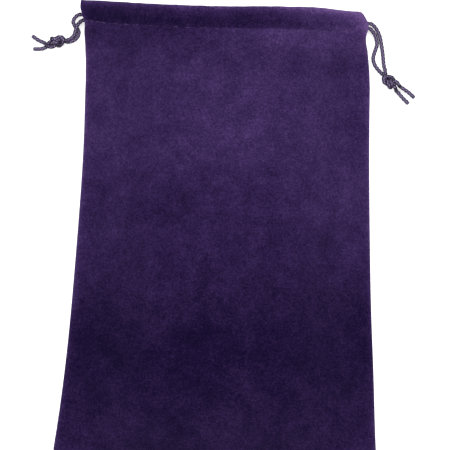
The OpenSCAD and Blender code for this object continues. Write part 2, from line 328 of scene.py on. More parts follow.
def side_pucker(u, d, seed):
    """Height of the small waves that a side seam pulls into the cloth beside it."""
    e = (1 - np.abs(u)) * half_width(d)
    low = LENGTH - d
    near = np.exp(-e / 5.0) * smooth(e / 1.5) + np.exp(-low / 5.0) * smooth(low / 1.5)
    return 0.22 * waves(d + 40 * np.sign(u) + 1.7 * u * half_width(d), seed, 6, 22, 6) * near


ARC = np.radians(np.array([75, 55, 35, 15, -5, -25, -45, -65, -80]))
FLAP_ROWS = np.linspace(0, 1, 12)
HEM_SEED, FRONT_SIDE_SEED = 11, 21


def flap_end(u):
    """How far down the flap reaches; it tapers away beside the open ends."""
    k = np.clip((np.abs(u) - FLAP_STOP) / (FLAP_GONE - FLAP_STOP), 0, 1)
    return mix(HEM_D, FOLD_R + 0.3, k)


def tuck_share(u):
    """How far the flap is sewn down: wholly in the middle, and not at all beside the open ends."""
    return 1 - np.clip((np.abs(u) - TUCK_STOP) / (FLAP_STOP - TUCK_STOP), 0, 1)


def flap_rows(uu):
    """d of the flap's points, and how far each is drawn towards the panel by the stitches."""
    fd = mix(FOLD_R, flap_end(uu), FLAP_ROWS[None, :])
    tuck = (TUNNEL_H - PLY_GAP) * smooth((fd - (HEM_D - TUCK)) / TUCK) * tuck_share(uu)
    return fd, tuck


def fold_arc(radius, middle, way, uu):
    """Points (d, z) round the fold at the mouth, from the panel to the flap."""
    return FOLD_R - radius * np.cos(ARC) + 0 * uu, middle + way * radius * np.sin(ARC) + 0 * uu


def chains(panel, middle, way, flap, uu):
    """The outside and the inside chain of a section, each as (d, z): panel, fold and flap."""
    joined = []
    for (d, z), radius, (fd, fz) in zip(panel, (FOLD_R, TUNNEL_H / 2), flap):
        arc = fold_arc(radius, middle, way, uu)
        joined.append((np.concatenate([d, arc[0], fd], 1), np.concatenate([z, arc[1], fz], 1)))
    return joined


def front_section(u):
    """Points (d, z) round the front panel's section at each u: outside chain, then the inside chain."""
    uu = u[:, None]
    d = rows()[None, :] + 0 * uu
    x = cloth_x(uu, d)
    shape = soft_lift(uu, d) + hem_detail(x, d, HEM_SEED) + side_pucker(uu, d, FRONT_SIDE_SEED)
    z_in = inner_z(uu, d) + shape
    z_out = z_in + edge_thickness(uu, d)
    fd, tuck = flap_rows(uu)
    puckers = hem_detail(cloth_x(uu, fd), fd, HEM_SEED) * smooth((fd - FOLD_R) / 2)
    flap_z = inner_z(uu, fd) + puckers - TUNNEL_H - CLOTH_T + tuck
    middle = z_out[:, -1:] - FOLD_R
    return chains(((d, z_out), (d, z_in)), middle, 1, ((fd, flap_z), (fd, flap_z + CLOTH_T)), uu)


def back_section(u):
    """The same for the back panel, which lies flat on its outside."""
    uu = u[:, None]
    d = rows()[None, :] + 0 * uu
    z_in = CLOTH_T + 0 * d
    z_out = CLOTH_T - edge_thickness(uu, d)
    fd, tuck = flap_rows(uu)
    flap_z = CASING_T - tuck
    return chains(((d, z_out), (d, z_in)), FOLD_R, -1, ((fd, flap_z), (fd, flap_z - CLOTH_T)), uu)


def make_mesh(name, verts_mm, faces, material, tone=None, sharp_deg=50):
    mesh = bpy.data.meshes.new(name)
    mesh.from_pydata((np.asarray(verts_mm) * MM).tolist(), [], faces)
    mesh.validate()
    if tone is not None:
        shade = mesh.attributes.new("tone", "FLOAT", "POINT")
        shade.data.foreach_set("value", np.asarray(tone, np.float32))
    mesh.materials.append(material)
    mesh.polygons.foreach_set("use_smooth", [True] * len(mesh.polygons))
    mesh.set_sharp_from_angle(angle=math.radians(sharp_deg))
    obj = bpy.data.objects.new(name, mesh)
    bpy.context.scene.collection.objects.link(obj)
    return obj


def hem_painted_light(x, d):
    """Painted light and shade over the hem: lighter towards the right, a painted highlight along the fold,
    painted sheen at both ends and a little darker above the stitches.
    """
    tone = 0.38 + 0.04 * smooth((x + 60) / 60) + 0.30 * smooth((x - 14) / 58) + 0.32 * np.exp(-d / 2.1)
    tone = tone + 0.11 * bell(d, 1.6, 1.6) - 0.05 * bell(d, 8.5, 2.4)
    # painted sheen near the right corner and at both ends of the fold
    tone = tone + 0.09 * bell(x, 62, 10) * bell(d, 11, 2)
    return tone + 0.05 * bell(x, -66, 8) * np.exp(-d / 3) + 0.16 * bell(x, 73, 7)


def body_painted_light(x, d):
    """The same below the hem, painted light and shade: lighter at the top where the light falls and darker
    down the bag, with a few cloudy fields.
    """
    high = 0.49 + 0.23 * smooth((x + 25) / 65)
    low = 0.61 - 0.25 * smooth((d - 72) / 110) + 0.08 * smooth((d - 180) / 40)
    low = low - 0.05 * bell(d, 102, 22) - 0.04 * bell(d, 176, 20)
    low = low + (0.07 - 0.09 * smooth((x + 55) / 110)) * bell(d, 142, 32)
    low = low + 0.05 * smooth((x + 20) / 60) * bell(d, 102, 22)
    # painted sheen a little inside the side edges
    low = low + 0.035 * smooth((np.abs(x) - 58) / 15) * smooth((d - 60) / 60)
    return mix(high, low, smooth((d - 12) / 16))


def front_painted_light(x, d, edge):
    """Painted light and shade on the front, from 0 to 1, with a painted sheen highlight along the rim where
    it turns over.
    """
    painted_rim_sheen = 0.30 * np.exp(-edge / 1.3) * smooth((d - 2) / 4)
    return mix(hem_painted_light(x, d), body_painted_light(x, d), smooth((d - stitch_d(x) + 1.4) / 1.8)) + painted_rim_sheen


# Painted light on the back: a little lighter towards the mouth, with a painted sheen highlight along the
# edges.
def back_painted_light(x, d, edge):
    return 0.46 + 0.05 * smooth((60 - d) / 60) + 0.10 * np.exp(-edge / 1.5) + 0 * x


INSIDE_DARKER = 0.12


def cloth_half(name, side, section, place_y, material, painted_light_of, flip):
    """One half of a panel as a closed sheet: two chains, joined at the seam, the flap and both ends."""
    u = columns()
    outside, inside = section(u * side)
    uu = (u * side)[:, None]
    d = np.concatenate([outside[0], inside[0][:, ::-1]], 1)
    z = np.concatenate([outside[1], inside[1][:, ::-1]], 1)
    x = cloth_x(uu, d)
    y = place_y(uu, d)
    m, n = d.shape
    half = n // 2
    verts = np.stack([x, y, z], -1).reshape(-1, 3)
    edge = np.minimum((1 - np.abs(uu)) * half_width(d), LENGTH - d)
    # the painted light and shade of each point, kept as the tone attribute
    tone = painted_light_of(x, d, edge)
    tone[:, half:] -= INSIDE_DARKER
    faces = []
    for i in range(m - 1):
        for k in range(n):
            k2 = (k + 1) % n
            faces.append((i * n + k, i * n + k2, (i + 1) * n + k2, (i + 1) * n + k))
    base = (m - 1) * n
    for k in range(half - 1):
        a, b = k, n - 1 - k
        faces.append((a, b, b - 1, a + 1))
        faces.append((base + a, base + a + 1, base + b - 1, base + b))
    if (side > 0) == flip:
        faces = [f[::-1] for f in faces]
    return make_mesh(name, verts, faces, material, tone.reshape(-1))


# ---------------------------------------------------------------- materials


def node_material(name):
    material = bpy.data.materials.new(name)
    material.use_nodes = True
    tree = material.node_tree
    tree.nodes.clear()
    out = tree.nodes.new("ShaderNodeOutputMaterial")
    shader = tree.nodes.new("ShaderNodeBsdfPrincipled")
    tree.links.new(shader.outputs[0], out.inputs[0])
    return material, tree, shader


def noise(tree, scale, detail=2.0, rough=0.5, stretch=None):
    coord = tree.nodes.new("ShaderNodeTexCoord")
    node = tree.nodes.new("ShaderNodeTexNoise")
    node.inputs["Scale"].default_value = scale
    node.inputs["Detail"].default_value = detail
    node.inputs["Roughness"].default_value = rough
    source = coord.outputs["Object"]
    if stretch:
        mapping = tree.nodes.new("ShaderNodeMapping")
        mapping.inputs["Scale"].default_value = stretch
        tree.links.new(source, mapping.inputs["Vector"])
        source = mapping.outputs["Vector"]
    tree.links.new(source, node.inputs["Vector"])
    return node.outputs["Fac"]


def math_node(tree, operation, a, b=None, c=None):
    node = tree.nodes.new("ShaderNodeMath")
    node.operation = operation
    for i, value in enumerate((a, b, c)):
        if value is None:
            continue
        if isinstance(value, (int, float)):
            node.inputs[i].default_value = value
        else:
            tree.links.new(value, node.inputs[i])
    return node.outputs[0]


def add_scaled(tree, base, factor, weight, centre=0.5):
    """base + (factor - centre) * weight"""
    return math_node(tree, "MULTIPLY_ADD", math_node(tree, "SUBTRACT", factor, centre), weight, base)


def bump(tree, shader, height, distance_mm, strength=1.0):
    node = tree.nodes.new("ShaderNodeBump")
    node.inputs["Strength"].default_value = strength
    node.inputs["Distance"].default_value = distance_mm * MM
    tree.links.new(height, node.inputs["Height"])
    tree.links.new(node.outputs["Normal"], shader.inputs["Normal"])


def srgb(r, g, b):
    def lin(c):
        c = c / 255
        return c / 12.92 if c <= 0.04045 else ((c + 0.055) / 1.055) ** 2.4
    return (lin(r), lin(g), lin(b), 1.0)


def ramp(tree, factor, stops):
    node = tree.nodes.new("ShaderNodeValToRGB")
    elements = node.color_ramp.elements
    while len(elements) < len(stops):
        elements.new(0.5)
    for element, (position, colour) in zip(elements, stops):
        element.position = position
        element.color = colour
    tree.links.new(factor, node.inputs[0])
    return node.outputs[0]


def attribute(tree, name):
    node = tree.nodes.new("ShaderNodeAttribute")
    node.attribute_name = name
    return node.outputs["Fac"]


PILE = [(0.10, (13, 6, 39)), (0.30, (26, 13, 54)), (0.42, (40, 24, 67)), (0.52, (52, 33, 81)),
        (0.64, (64, 44, 95)), (0.80, (86, 61, 118)), (1.0, (118, 88, 148))]
PILE_GAIN = 0.61
# Mottling of the velvet from large clouds to the fine grain: scale, detail, roughness, stretch and weight
CLOUDS = ((24, 3, 0.55, (1, 0.7, 1), 0.26), (100, 3, 0.6, None, 0.30), (420, 2, 0.6, None, 0.24))
GRAIN, GRAIN_WEIGHT = (1150, 2, 0.6), 0.62


def velvet_material(name):
    """Short pile: its colour follows the tone attribute, which holds painted light and shade, with clouds, a
    fine grain and a weak sheen.
    """
    material, tree, shader = node_material(name)
    factor = attribute(tree, "tone")
    for scale, detail, rough, stretch, weight in CLOUDS:
        factor = add_scaled(tree, factor, noise(tree, scale, detail, rough, stretch), weight)
    grain = noise(tree, *GRAIN)
    factor = add_scaled(tree, factor, grain, GRAIN_WEIGHT)
    stops = [(at, tuple(PILE_GAIN * c for c in srgb(*rgb)[:3]) + (1.0,)) for at, rgb in PILE]
    tree.links.new(ramp(tree, factor, stops), shader.inputs["Base Color"])
    shader.inputs["Roughness"].default_value = 0.95
    shader.inputs["Specular IOR Level"].default_value = 0.05
    shader.inputs["Sheen Weight"].default_value = 0.06
    shader.inputs["Sheen Roughness"].default_value = 0.4
    shader.inputs["Sheen Tint"].default_value = srgb(170, 140, 205)
    nap = add_scaled(tree, grain, noise(tree, 500, 2, 0.6), 0.6)
    bump(tree, shader, nap, 0.3, 0.7)
    return material


def thread_material(name, dark, light, shine):
    """Twisted fibres between a dark and a light colour."""
    material, tree, shader = node_material(name)
    fibres = noise(tree, 5000, 2, 0.6, (0.3, 1, 1))
    tree.links.new(ramp(tree, fibres, [(0.2, dark), (0.8, light)]), shader.inputs["Base Color"])
    shader.inputs["Roughness"].default_value = 1 - shine
    shader.inputs["Sheen Weight"].default_value = 0.1
    bump(tree, shader, fibres, 0.05, 0.7)
    return material


# The cord's colours, from painted shade in the dark stops to a painted highlight in the light ones.
YARN_SHADE_TO_HIGHLIGHT = ((0.0, (4, 3, 9)), (0.32, (14, 9, 24)), (0.6, (54, 44, 72)), (0.95, (132, 117, 154)))


def cord_material(name):
    """Yarns are dark where they dive under one another and catch the light where they come over."""
    material, tree, shader = node_material(name)
    fibres = noise(tree, 4500, 2, 0.6)
    # Painted shade: the cord gets darker where its surface turns away from the camera.
    facing = tree.nodes.new("ShaderNodeLayerWeight").outputs["Facing"]
    factor = add_scaled(tree, attribute(tree, "tone"), fibres, 0.35)
    factor = math_node(tree, "MULTIPLY_ADD", facing, -1.0, factor)
    stops = [(at, srgb(*rgb)) for at, rgb in YARN_SHADE_TO_HIGHLIGHT]
    tree.links.new(ramp(tree, factor, stops), shader.inputs["Base Color"])
    shader.inputs["Roughness"].default_value = 0.5
    shader.inputs["Specular IOR Level"].default_value = 0.12
    bump(tree, shader, fibres, 0.05, 0.6)
    return material


VELVET = velvet_material("velvet_outside")
VELVET_BACK = velvet_material("velvet_reverse")
STITCH = thread_material("stitch_thread", srgb(50, 37, 76), srgb(84, 68, 110), 0.25)
SEAM = thread_material("seam_thread", srgb(36, 25, 62), srgb(70, 54, 100), 0.2)
CORD = cord_material("cord_braid")
TIP = thread_material("cord_tip", srgb(34, 24, 54), srgb(84, 70, 110), 0.5)

# ---------------------------------------------------------------- how pieces join the frame

SIDE_NAMES = {-1: "left", 1: "right"}


def stands_for(obj, slot, *nodes):
    """obj takes the place of CAD nodes, which it hides; slot, the record's slot for its finish, is not used.
    """
    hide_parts(*nodes)
    return obj


def gather(obj):
    """obj's place is baked into its mesh."""
    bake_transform(obj)


# ---------------------------------------------------------------- panels, split in halves

for side, word in SIDE_NAMES.items():
    front = cloth_half(f"front_cloth_{word}", side, front_section, front_y, VELVET, front_painted_light, False)
    gather(stands_for(front, "velvet_front", "front_panel"))
    back = cloth_half(f"back_cloth_{word}", side, back_section, flat_y, VELVET_BACK, back_painted_light, True)
    gather(stands_for(back, "velvet_back", "back_panel"))

# ---------------------------------------------------------------- tubes, thread and braid


def spline(points, step):
    """A smooth line through the points, sampled about every step."""
    p = np.asarray(points, float)
    ext = np.vstack([2 * p[0] - p[1], p, 2 * p[-1] - p[-2]])
    t = np.linspace(0, 1, 40, endpoint=False)[:, None]
    parts = []
    for i in range(len(p) - 1):
        a, b, c, d = ext[i:i + 4]
        parts.append(0.5 * (2 * b + (c - a) * t + (2 * a - 5 * b + 4 * c - d) * t ** 2
                            + (3 * b - a - 3 * c + d) * t ** 3))
    fine = np.vstack(parts + [p[-1:]])
    return resample(fine, step)


def evenly(line, count):
    """The same line as evenly spaced points."""
    run = np.concatenate([[0], np.cumsum(np.linalg.norm(np.diff(line, axis=0), axis=1))])
    at = np.linspace(0, run[-1], count)
    return np.stack([np.interp(at, run, line[:, k]) for k in range(3)], 1)


def resample(line, step):
    """The same line as points about one step apart."""
    length = np.linalg.norm(np.diff(line, axis=0), axis=1).sum()
    return evenly(line, max(2, int(round(length / step)) + 1))


def line_frames(line):
    """Direction and two steady normals along a line."""
    t = np.gradient(line, axis=0)
    t /= np.linalg.norm(t, axis=1)[:, None]
    a = np.zeros_like(t)
    seed = np.array([0, 0, 1.0]) if abs(t[0][2]) < 0.9 else np.array([0, 1.0, 0])
    a[0] = np.cross(t[0], seed)
    a[0] /= np.linalg.norm(a[0])
    for i in range(1, len(t)):
        v = a[i - 1] - t[i] * (a[i - 1] @ t[i])
        a[i] = v / np.linalg.norm(v)
    return t, a, np.cross(t, a)


def tube_parts(line, radius, sides=12, dome=1.0):
    """Points and faces of a tube with domed ends, each dome that share of the radius long."""
    t, a, b = line_frames(line)
    caps = np.radians([15, 40, 65])
    start = np.stack([line[0] - t[0] * radius * dome * math.cos(c) for c in caps])
    end = np.stack([line[-1] + t[-1] * radius * dome * math.cos(c) for c in caps[::-1]])
    r = np.concatenate([radius * np.sin(caps), np.full(len(line), radius), radius * np.sin(caps[::-1])])
    line = np.vstack([start, line, end])
    a = np.vstack([np.repeat(a[:1], 3, 0), a, np.repeat(a[-1:], 3, 0)])
    b = np.vstack([np.repeat(b[:1], 3, 0), b, np.repeat(b[-1:], 3, 0)])
    phi = np.linspace(0, 2 * math.pi, sides, endpoint=False)
    ring = (line[:, None, :] + r[:, None, None]
            * (np.cos(phi)[None, :, None] * a[:, None, :] + np.sin(phi)[None, :, None] * b[:, None, :]))
    return ring_faces(ring)


def ring_faces(ring):
    """Points and faces of a closed tube through rings of points."""
    m, s = ring.shape[:2]
    verts = ring.reshape(-1, 3)
    faces = [tuple(range(s))[::-1]]
    for i in range(m - 1):
        for k in range(s):
            k2 = (k + 1) % s
            faces.append((i * s + k, i * s + k2, (i + 1) * s + k2, (i + 1) * s + k))
    faces.append(tuple((m - 1) * s + k for k in range(s)))
    return verts, faces


def join(parts):
    """Several (points, faces) as one."""
    verts, faces, base = [], [], 0
    for v, f in parts:
        verts.append(v)
        faces += [tuple(i + base for i in face) for face in f]
        base += len(v)
    return np.vstack(verts), faces


CORD_R = 1.08
CARRIERS = 4          # yarns that wind each way
BRAID_PITCH = 8.0     # length of one full turn of a yarn
YARN_WIDE = 0.50      # half width of a yarn
YARN_THICK = 0.24     # half thickness of a yarn
YARN_WEAVE = 0.15     # how far a yarn goes over and under
BRAID_STEP = 0.2


class Braid:
    """A round braid of eight yarns over a core, along one line; part(i, j) gives a stretch of it."""

    def __init__(self, points):
        line = resample(np.asarray(points, float), BRAID_STEP)
        kernel = np.ones(5) / 5
        soft = np.stack([np.convolve(line[:, k], kernel, "same") for k in range(3)], 1)
        line[2:-2] = soft[2:-2]
        self.line = line
        self.frames = line_frames(line)
        self.run = np.arange(len(line)) * BRAID_STEP

    def nearest(self, point):
        return int(np.argmin(np.linalg.norm(self.line - np.asarray(point), axis=1)))

    def part(self, i, j):
        """Points, faces and tones of the stretch from point i to point j."""
        line, run = self.line[i:j + 1], self.run[i:j + 1]
        _, a, b = (f[i:j + 1] for f in self.frames)
        verts, faces = tube_parts(line, CORD_R - 2 * YARN_THICK, 8)
        # The core takes tone 0, painted dark as the shade between the yarns.
        parts, tones = [(verts, faces)], [np.zeros(len(verts))]
        phi = np.linspace(0, 2 * math.pi, 8, endpoint=False)
        for way in (-1, 1):
            for k in range(CARRIERS):
                wound = 2 * math.pi * run / BRAID_PITCH
                turn = way * wound + 2 * math.pi * (k + 0.25 * (way + 1)) / CARRIERS
                over = way * np.sin(wound * CARRIERS)
                r = CORD_R - YARN_THICK - YARN_WEAVE * (1 - over)
                out = np.cos(turn)[:, None] * a + np.sin(turn)[:, None] * b
                centre = line + r[:, None] * out
                along = np.gradient(centre, axis=0)
                along /= np.linalg.norm(along, axis=1)[:, None]
                wide = np.cross(along, out)
                wide /= np.linalg.norm(wide, axis=1)[:, None]
                ring = (centre[:, None, :] + YARN_THICK * np.cos(phi)[None, :, None] * out[:, None, :]
                        + YARN_WIDE * np.sin(phi)[None, :, None] * wide[:, None, :])
                parts.append(ring_faces(ring))
                # Painted light and shade: a yarn is lighter where it comes over and on its outer face, darker
                # where it dives under and at its sides.
                tone = (0.62 + 0.34 * over[:, None] + 0.16 * np.cos(phi)[None, :]
                        - 0.16 * np.abs(np.sin(phi))[None, :])
                tones.append(tone.reshape(-1))
        return *join(parts), np.concatenate(tones)


def join_toned(parts):
    """Several (points, faces, tones) as one."""
    verts, faces = join([p[:2] for p in parts])
    return verts, faces, np.concatenate([p[2] for p in parts])


def distance(a, b):
    return np.linalg.norm(a - b)


def place(points, side, exit_at):
    """Points measured outwards and down the bag from an exit, as points in the part's frame."""
    return np.array([[exit_at[0] + side * p[0], exit_at[1] - p[1], p[2]] for p in points])


LOOSE_KNOT = 12.8       # width of the loose knot, in thicknesses of a strand
PAIR_GAP = 0.52         # how far each strand lies from the pair's middle, in thicknesses
LOOSEST_PAIR = 1.05     # the pair is drawn together beyond this distance, in thicknesses


def tie_knot(thick=1.75, points=84, steps=620, slack=1.086, tight=0.60):
    """Centre lines of two strands tied together in one overhand knot and drawn tight along X.

    A loose knot is held by its ends while its strands get shorter and push one another apart. slack and
    tight are the lengths of a strand's links at the start and at the end.
    """
    t = np.linspace(-2.2, 2.2, 600)
    middle = np.stack([t ** 3 - 3 * t, t ** 4 - 4 * t ** 2, 0.6 * (t ** 5 / 5 - 2 * t)], 1)
    middle = middle / np.ptp(middle[:, 0]) * LOOSE_KNOT * thick
    middle = evenly(middle, points)
    t = np.gradient(middle, axis=0)
    beside = np.cross(t, [0, 0, 1.0])
    beside /= np.linalg.norm(beside, axis=1)[:, None]
    rope = np.concatenate([middle + beside * thick * PAIR_GAP, middle - beside * thick * PAIR_GAP])
    number = np.arange(2 * points)
    first, second = np.triu_indices(2 * points, 1)
    same = first // points == second // points
    apart = np.abs(first % points - second % points)
    ends = np.array([0, points - 1, points, 2 * points - 1])
    offset = np.array([1, 1, -1, -1]) * PAIR_GAP * thick
    loose_ends = rope[ends].copy()
    links = [number[s * points + k:(s + 1) * points - 1:2] for s in (0, 1) for k in (0, 1)]
    for step in range(steps):
        k = step / (steps - 1)
        length = mix(slack, tight, k)
        pull = min(1.0, 2.5 * k)
        core = rope.reshape(2, points, 3)[:, points // 3:2 * points // 3].mean((0, 1))
        held = loose_ends.copy()
        held[:, 1] = mix(loose_ends[:, 1], core[1] + offset, pull)
        held[:, 2] = mix(loose_ends[:, 2], core[2], pull)
        if step % 8 == 0:                           # find the points that may touch
            gap = np.linalg.norm(rope[second] - rope[first], axis=1)
            near = (gap < 1.6 * thick) & (~same | (apart > 1.35 * thick / length))
            p, q = first[near], second[near]
        for turn in range(14):
            for i in links:                         # every link gets its length
                v = rope[i + 1] - rope[i]
                size = np.linalg.norm(v, axis=1)
                move = ((size - length) / size * 0.5)[:, None] * v
                rope[i] += move
                rope[i + 1] -= move
            rope[ends] = held
            if turn % 2 == 0:                       # points that touch push apart
                v = rope[q] - rope[p]
                size = np.linalg.norm(v, axis=1)
                touch = size < thick
                move = np.where(touch, (thick - size) / size * 0.5, 0)[:, None] * v
                count, total = np.zeros(len(rope)), np.zeros_like(rope)
                np.add.at(count, p, touch)
                np.add.at(count, q, touch)
                np.add.at(total, p, -move)
                np.add.at(total, q, move)
                rope += total / np.maximum(count * 0.6, 1)[:, None]
        for s in (0, points):                       # the strands straighten a little
            inner = rope[s + 1:s + points - 1]
            inner += 0.1 * ((rope[s:s + points - 2] + rope[s + 2:s + points]) / 2 - inner)
        v = rope[points:] - rope[:points]
        size = np.linalg.norm(v, axis=1)
        move = (np.maximum(size - LOOSEST_PAIR * thick, 0) / size * 0.1)[:, None] * v
        rope[:points] += move
        rope[points:] -= move
        rope[ends] = held
    rope = rope.reshape(2, points, 3)
    return rope - rope[:, points // 3:2 * points // 3].mean((0, 1))


# ---------------------------------------------------------------- stitches and seams


STITCH_R = 0.15
STITCH_HALF = 1.38                      # half the length of one stitch
FRONT_STOP, BACK_STOP = 71.5, 61.0      # how far out the rows of stitches run
SEAM_R = 0.25
SEAM_INSET = 1.2                        # how far the seams lie inside the cloth's edge
TACK_R, TACK_SWING = 0.22, 0.45


def sink_at(x):
    """How deep a stitch lies in the pile: unevenly, and deeper away from the left end."""
    return 0.04 * waves(np.array([x]), 31, 6, 9, 3.5)[0] + 0.11 * smooth((x + 64) / 8) - 0.03


def stitch_row(side, y_of, z_of, stop):
    """Stitches from the middle towards one side."""
    parts = []
    for i in range(0 if side > 0 else 1, int(stop / STITCH_PITCH) + 1):
        x0 = side * i * STITCH_PITCH
        share = np.linspace(-1, 1, 9)
        xs = x0 + share * STITCH_HALF
        ys = y_of(xs) + 0.12 * waves(xs, 32, 4, 9, 4)
        zs = z_of(xs) - 0.3 * share ** 4 - sink_at(x0)
        parts.append(tube_parts(np.stack([xs, ys, zs], 1), STITCH_R, 8))
    return join(parts)


def front_stitch_y(x):
    d = stitch_d(x)
    return front_y(cloth_u(x, d), d)


def front_stitch_z(x):
    d = stitch_d(x)
    return inner_z(cloth_u(x, d), d) + hem_detail(x, d, HEM_SEED) + CLOTH_T + 0.02


def back_stitch_y(x):
    return Y_MOUTH - HEM_D + 0.5 + 0 * x


def back_stitch_z(x):
    return 2 * CLOTH_T + 0.18 + 0 * x


def seam_thread(name, xs, ys):
    """A thread between the panels."""
    line = np.stack([xs, ys, np.full_like(xs, SEAM_Z - 0.02)], 1)
    return make_mesh(name, *tube_parts(line, SEAM_R, 8), SEAM)


def seam_tack(name, node):
    """A zigzag of thread that fills the CAD tack's length."""
    lo, hi = box_mm(node)
    middle = (lo + hi) / 2
    zigzag = np.array([[mix(lo[0], hi[0], t), middle[1] + TACK_SWING * (-1) ** i, middle[2]]
                       for i, t in enumerate(np.linspace(0.1, 0.9, 9))])
    return make_mesh(name, *tube_parts(spline(zigzag, 0.15), TACK_R, 8), SEAM)


for side, word in SIDE_NAMES.items():
    for panel, y_of, z_of, stop in (("front", front_stitch_y, front_stitch_z, FRONT_STOP),
                                    ("back", back_stitch_y, back_stitch_z, BACK_STOP)):
        row = make_mesh(f"{panel}_stitches_{word}", *stitch_row(side, y_of, z_of, stop), STITCH)
        gather(stands_for(row, "stitch_thread", f"{panel}_casing_stitches"))
    d = np.arange(HEM_D + 7, LENGTH - 6, 1.0)
    edge = edges_at(d)[1 if side > 0 else 0]
    seam = seam_thread(f"side_seam_{word}", edge - side * SEAM_INSET, Y_MOUTH - d)
    gather(stands_for(seam, "seam_thread", f"{word}_side_seam"))
    tack = seam_tack(f"seam_tack_{word}", f"{word}_seam_tack")
    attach(stands_for(tack, "seam_thread", f"{word}_seam_tack"), f"{word}_corner")

lo, hi = box_mm("bottom_seam")
xs = np.arange(lo[0], hi[0], 1.0)
bottom = seam_thread("bottom_seam_thread", xs, np.full_like(xs, lo[1] + SEAM_R))
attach(stands_for(bottom, "seam_thread", "bottom_seam"), "bag")

# ---------------------------------------------------------------- drawcords

LANES = {"left": (6.6, 9.6), "right": (4.8, 7.2)}    # how far from the fold a cord's strands lie in the hem
FAR_LANES = {"left": 7.3, "right": 4.4}              # the same where the cord turns back at the far corner
LANE_Z = FOLD_R
STRAND_IN_HEM = 71.0                                 # length of each strand inside the hem
BEND_IN_HEM = 2.0                                    # the strands start to bend this far before they leave it
EXIT_OUT = 1.38                                      # how far outside the mouth's edge the cords leave
EXIT_X = HALF_MOUTH + EXIT_OUT
EXITS = {"left": (-EXIT_X, Y_MOUTH - 7.3 - SKEW), "right": (EXIT_X, Y_MOUTH - 4.4 + SKEW)}
FRONT_LANE_Z = HEM_INNER_Z - TUNNEL_H / 2
TURN_X = (60.0, 63.5, 67.0, 69.5)                    # a cord's far turn: x in the front hem, then (x, z)
TURN_XZ = ((71.4, FRONT_LANE_Z - 0.2), (72.0, 5.2), (71.0, 3.4), (68.5, LANE_Z), (58.0, LANE_Z))
TIP_R, TIP_DOME, TIP_POINTS, TIP_OUT = CORD_R * 0.97, 0.3, 5, 3     # a tip stands out by TIP_OUT steps

# Each strand outside the hem, measured outwards and down the bag from its exit, and up from the table
NECKS = {
    "left": (
        [[0, -0.6, 2.15], [1.8, 0.6, 1.8], [2.95, 2.7, 1.4], [2.25, 4.8, 1.2], [1.1, 6.1, 1.1],
         [-0.1, 8.1, 1.1], [0, 10.1, 1.15], [1.2, 12.1, 1.3], [3.5, 13.6, 1.8]],
        [[-0.9, 3.1, 2.2], [0.3, 4.8, 2.8], [1.1, 6.6, 3.2], [1.45, 8.3, 2.8], [2.2, 10.5, 2.2],
         [4.0, 12.4, 2.4]]),
    "right": (
        [[0, 0.6, 2.15], [1.25, 1.1, 2.1], [3.1, 3.1, 1.8], [4.65, 5.9, 1.4], [5.45, 8.4, 1.2],
         [6.05, 11.7, 1.15], [6.65, 15.4, 1.15], [7.05, 19.1, 1.15], [7.35, 22.1, 1.3],
         [8.1, 25.1, 1.8]],
        [[-0.2, 3.2, 2.1], [0.55, 3.9, 2.0], [2.25, 5.9, 1.6], [3.25, 8.45, 1.3],
         [3.65, 11.35, 1.15], [2.8, 14.4, 1.15], [1.95, 17.4, 1.15], [1.9, 19.6, 1.15],
         [2.75, 22.2, 1.15], [4.6, 24.8, 1.4]]),
}
TAILS = {
    "left": (
        [[17.3, 14.7, 1.7], [20.2, 13.4, 1.2], [23.1, 11.5, 1.15]],
        [[16.4, 16.9, 1.6], [18.6, 17.8, 1.2], [22.1, 18.0, 1.15]]),
    "right": (
        [[15.7, 33.1, 2.0], [17.7, 34.3, 1.6], [20.7, 36.3, 1.2], [22.8, 38.2, 1.15]],
        [[13.9, 35.5, 1.9], [15.1, 36.6, 1.5], [17.5, 39.2, 1.2], [19.8, 41.4, 1.15]]),
}
KNOT_AT = {"left": (10.3, 14.5), "right": (10.3, 31.1)}
KNOT_TURN = {"left": 177.0, "right": -57.0}          # degrees about Z
KNOT_ROLL = {"left": 300.0, "right": 330.0}          # degrees about the knot's own axis
KNOT_HALF = 4.6                                      # the tied strands are cut off this far from the middle
KNOT_LIFT = 0.15                                     # the knot's lowest yarn stays this far above the table
KNOT = tie_knot() * [1.0, 0.9, 0.92]


def turned_knot(centre, turn_deg, roll_deg):
    """The two strands of a knot, cut off at its ends, with its axis along turn_deg."""
    roll = Matrix.Rotation(math.radians(roll_deg), 3, "X")
    spin = np.array(Matrix.Rotation(math.radians(turn_deg), 3, "Z") @ roll)
    strands = []
    for q in KNOT:
        first = int(np.flatnonzero(q[:, 0] > -KNOT_HALF)[0])
        last = int(np.flatnonzero(q[:, 0] < KNOT_HALF)[-1])
        strands.append(q[first:last + 1] @ spin.T + centre)
    low = min(q[:, 2].min() for q in strands) - CORD_R
    return [q + [0, 0, max(0.0, KNOT_LIFT - low)] for q in strands]


def end_lines(side, word):
    """Neck, knot strand and tail of both strands outside the hem, and which tail each one ends in."""
    exit_at = EXITS[word]
    knot_at = place([[*KNOT_AT[word], box_mm(f"{word}_knot")[1][2] / 2]], side, exit_at)[0]
    strands = turned_knot(knot_at, KNOT_TURN[word], KNOT_ROLL[word])
    necks = [place(q, side, exit_at) for q in NECKS[word]]
    upper, lower = (place(q, side, exit_at) for q in TAILS[word])
    if distance(strands[0][0], necks[0][-1]) > distance(strands[1][0], necks[0][-1]):
        strands = strands[::-1]
    if distance(strands[0][-1], upper[0]) <= distance(strands[1][-1], upper[0]):
        return zip(necks, strands, (upper, lower), ("upper", "lower"))
    return zip(necks, strands, (lower, upper), ("lower", "upper"))


def braid_piece(name, parts, *nodes):
    """One mesh of stretches of braid, in place of CAD nodes."""
    verts, faces, tone = join_toned(parts)
    return stands_for(make_mesh(name, verts, faces, CORD, tone), "cord", *nodes)


